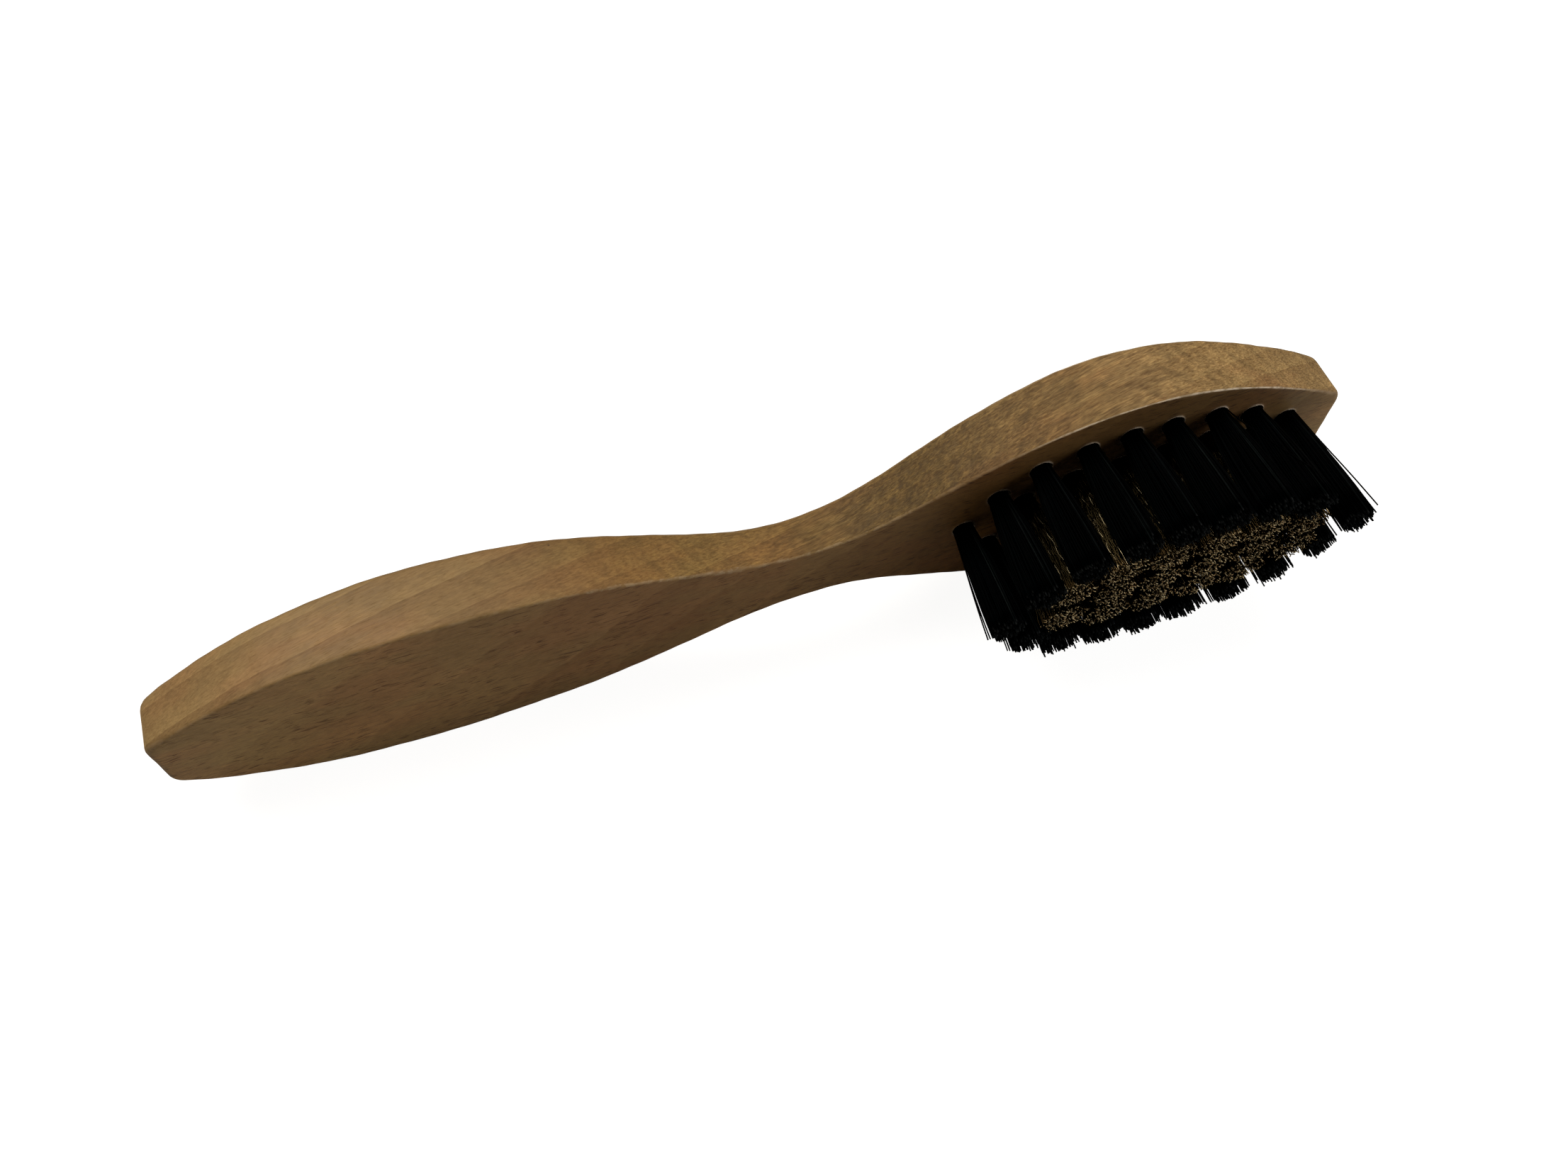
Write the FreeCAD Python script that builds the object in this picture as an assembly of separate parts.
import FreeCAD, Part
import os

from FreeCAD import Vector

# Clothes brush: a one-piece beech handle with a ring of black nylon tufts
# around a field of crimped brass-wire tufts, each tuft folded over a flat
# metal anchor near the bottom of its drilled hole.
#
# Frame, in millimetres, with the brush lying on its long side:
#   +X  along the handle, from the tail towards the head end
#   -Y  the way the bristles point; the flat face they are set in is Y = 0
#       and the handle's back is on the +Y side
#   +Z  across the width; Z = 0 is the plane of symmetry of the handle
#   origin on the flat face, on the plane of symmetry, in the middle of the
#   brass field

# ---------------------------------------------------------------- handle
LENGTH = 166.0            # tail end to head end
ORIGIN_FROM_TAIL = 134.2  # tail end to the middle of the brass field

# half width of the plan outline, evenly spaced stations from tail to head
HALF_WIDTH = [4.88, 11.20, 13.52, 13.15, 10.99, 6.68,
              5.64, 10.86, 16.10, 17.33, 13.51, 5.91]

# thickness of the handle, evenly spaced stations from tail to head
THICKNESS = [7.76, 9.26, 9.96, 8.03, 6.39, 8.30, 9.90, 9.09, 7.84]

END_CORNER_R = 2.6        # corners of the plan at the two square-cut ends
ARRIS_R = 0.75            # rounding run along the long edges and the ends

# How far the two crossed blanks reach past the finished handle
MARGIN = 4.0              # beyond the thickest and the widest station
FACE_MARGIN = 2.0         # plan blank, beyond the flat face
END_MARGIN = 5.0          # side blank, beyond each end
TAIL_DROP = 0.25          # fall of the back over the end margin at the tail
HEAD_DROP = 0.1           # and at the head

# ---------------------------------------------------------------- holes
HOLE_R = 1.60
HOLE_DEPTH = 6.5
HOLE_TIP = 0.6            # depth of the drill's conical bottom
HOLE_TIP_R = 0.15         # radius left at the end of the cone
HOLE_OVERRUN = 1.0        # start of the cut, outside the flat face

# ---------------------------------------------------------------- tufts
TUFT_GAP = 0.1            # between a bundle and its hole
TUFT_ROOT_R = HOLE_R - TUFT_GAP
STRAIGHT = 2.2            # the bundle stays this straight outside the face
FLARE_CURVE = 0.15        # share of the flare that grows as the square
FLARE_STATIONS = (0.0, 0.5, 1.0)
SPREAD = 0.02             # outward lean of an end, per mm of its Z

NYLON_TRIM = 17.05        # face to the trimmed nylon ends
NYLON_TIP_R = 2.40
BRASS_TRIM = 16.50        # face to the trimmed wire ends
BRASS_TIP_R = 2.50

# ---------------------------------------------------------------- anchors
ANCHOR_LENGTH = 3.9       # along X, wider than the hole
ANCHOR_HEIGHT = 1.6
ANCHOR_THICK = 0.35
ANCHOR_DEPTH = 4.1        # face to the anchor's near edge
ANCHOR_FIT = 0.03         # gap left round each anchor

# ---------------------------------------------------------------- layout
# Nylon ring, each tuft given by its place from the tail, its distance from
# the plane of symmetry, and the lean of its trimmed end along the handle.
NYLON_SINGLE = (108.36, 0.00, -0.75)
NYLON_PAIRS = [
    (112.73, 5.60, -0.60),
    (118.26, 9.44, -0.40),
    (124.82, 10.82, -0.15),
    (131.17, 11.34, 0.00),
    (137.39, 11.14, 0.15),
    (144.19, 10.39, 0.40),
    (150.43, 8.21, 0.60),
]

# The last pair, at the head end: the +Z tuft was left longer than the rest
# and leans, its twin stands straight.
LAST_PAIR_PLACE = 156.94
LAST_PAIR_Z = 4.54
LONG_TRIM = 19.2
LONG_LEAN = 0.5
TWIN_LEAN = 0.0

# Brass field: columns at an even pitch from tail to head, each with its
# tufts' Z and the lean of their ends along the handle.
BRASS_PITCH = 6.92
FULL_COLUMN = (5.2, 0.0, -5.2)
BRASS_COLUMNS = [
    ((3.0, -3.0), -0.35),
    (FULL_COLUMN, -0.20),
    (FULL_COLUMN, -0.05),
    (FULL_COLUMN, 0.05),
    (FULL_COLUMN, 0.20),
    ((2.9, -2.9), 0.40),
]


def along(from_tail):
    """Distance from the tail turned into the part's X."""
    return from_tail - ORIGIN_FROM_TAIL


def stations(values):
    """(X, value) pairs, evenly spaced from tail to head."""
    step = LENGTH / (len(values) - 1)
    return [(along(i * step), value) for i, value in enumerate(values)]


def smooth_edge(points):
    curve = Part.BSplineCurve()
    curve.interpolate(points)
    return curve.toShape()


def plan_blank():
    """Plan outline extruded through the thickness, end corners rounded."""
    top = max(THICKNESS) + MARGIN
    plus_side = [Vector(x, -FACE_MARGIN, half) for x, half in stations(HALF_WIDTH)]
    minus_side = [Vector(x, -FACE_MARGIN, -half) for x, half in stations(HALF_WIDTH)]
    outline = Part.Wire([
        smooth_edge(plus_side),
        Part.makeLine(plus_side[-1], minus_side[-1]),
        smooth_edge(list(reversed(minus_side))),
        Part.makeLine(minus_side[0], plus_side[0]),
    ])
    plan = Part.Face(outline).extrude(Vector(0, top + FACE_MARGIN, 0))
    corners = [edge for edge in plan.Edges
               if edge.Length > top and abs(edge.tangentAt(edge.FirstParameter).y) > 0.99]
    return plan.makeFillet(END_CORNER_R, corners)


def side_blank():
    """Side profile extruded through the width. The back runs on past both
    ends so that it crosses the whole outline."""
    wide = max(HALF_WIDTH) + MARGIN
    back = [Vector(x, thick, -wide) for x, thick in stations(THICKNESS)]
    start, end = back[0], back[-1]
    before = Vector(start.x - END_MARGIN, start.y - TAIL_DROP, -wide)
    after = Vector(end.x + END_MARGIN, end.y - HEAD_DROP, -wide)
    face_before = Vector(before.x, 0.0, -wide)
    face_after = Vector(after.x, 0.0, -wide)
    profile = Part.Wire([
        Part.makeLine(before, start),
        smooth_edge(back),
        Part.makeLine(end, after),
        Part.makeLine(after, face_after),
        Part.makeLine(face_after, face_before),
        Part.makeLine(face_before, before),
    ])
    return Part.Face(profile).extrude(Vector(0, 0, 2.0 * wide))


def rounded(blank):
    """All edges rounded except those that run through the thickness."""
    edges = []
    for edge in blank.Edges:
        middle = 0.5 * (edge.FirstParameter + edge.LastParameter)
        if abs(edge.tangentAt(middle).y) <= 0.7:
            edges.append(edge)
    return blank.makeFillet(ARRIS_R, edges)


def hole(x, z):
    """Drilled hole with a conical bottom, started outside the face."""
    inward = Vector(0, 1, 0)
    bore = Part.makeCylinder(HOLE_R, HOLE_DEPTH + HOLE_OVERRUN,
                             Vector(x, -HOLE_OVERRUN, z), inward)
    tip = Part.makeCone(HOLE_R, HOLE_TIP_R, HOLE_TIP, Vector(x, HOLE_DEPTH, z), inward)
    return bore.fuse(tip)


def anchor(x, z, grow=0.0):
    """Flat piece of wire that pins the fold of one tuft."""
    return Part.makeBox(
        ANCHOR_LENGTH + 2 * grow, ANCHOR_HEIGHT + 2 * grow, ANCHOR_THICK + 2 * grow,
        Vector(x - ANCHOR_LENGTH / 2 - grow, ANCHOR_DEPTH - grow, z - ANCHOR_THICK / 2 - grow))


def handle(places):
    body = rounded(plan_blank().common(side_blank()).Solids[0])
    for x, z, _, _ in places:
        body = body.cut(hole(x, z).fuse(anchor(x, z, ANCHOR_FIT)))
    return body.Solids[0]


def tuft(x, z, lean, trim, tip_r):
    """A bundle: straight inside its hole and just outside the face, then
    flaring to its trimmed end, slit where its anchor passes."""
    outward = Vector(0, -1, 0)
    root = HOLE_DEPTH - TUFT_GAP
    stem = Part.makeCylinder(TUFT_ROOT_R, root + STRAIGHT, Vector(x, root, z), outward)
    rings = []
    for share in FLARE_STATIONS:
        y = -STRAIGHT - share * (trim - STRAIGHT)
        growth = (1 - FLARE_CURVE) * share + FLARE_CURVE * share * share
        radius = TUFT_ROOT_R + (tip_r - TUFT_ROOT_R) * growth
        centre = Vector(x + lean * share, y, z + SPREAD * z * share)
        rings.append(Part.Wire(Part.makeCircle(radius, centre, outward)))
    flare = Part.makeLoft(rings, True, False)
    body = stem.fuse(flare).removeSplitter()
    return body.cut(anchor(x, z, ANCHOR_FIT)).Solids[0]


def nylon_places():
    """(X, Z, lean, trim) round the ring: the single tuft, up the +Z side to
    the head end, and back down the -Z side."""
    ring = [(*place, NYLON_TRIM) for place in [NYLON_SINGLE] + NYLON_PAIRS]
    ring.append((LAST_PAIR_PLACE, LAST_PAIR_Z, LONG_LEAN, LONG_TRIM))
    ring.append((LAST_PAIR_PLACE, -LAST_PAIR_Z, TWIN_LEAN, NYLON_TRIM))
    ring += [(place, -z, lean, NYLON_TRIM) for place, z, lean in reversed(NYLON_PAIRS)]
    return [(along(place), z, lean, trim) for place, z, lean, trim in ring]


def brass_places():
    """(X, Z, lean, trim) column by column, centred on the origin."""
    middle = (len(BRASS_COLUMNS) - 1) / 2
    return [((i - middle) * BRASS_PITCH, z, lean, BRASS_TRIM)
            for i, (column, lean) in enumerate(BRASS_COLUMNS) for z in column]


os.makedirs("parts", exist_ok=True)

nylon = nylon_places()
brass = brass_places()

handle(nylon + brass).exportStep("parts/wooden_handle.step")

for kind, places, tip_r in (("nylon", nylon, NYLON_TIP_R), ("brass", brass, BRASS_TIP_R)):
    for i, place in enumerate(places, 1):
        tuft(*place, tip_r).exportStep("parts/%s_tuft_%02d.step" % (kind, i))
    Part.makeCompound([anchor(x, z) for x, z, _, _ in places]).exportStep(
        "parts/%s_tuft_anchors.step" % kind)
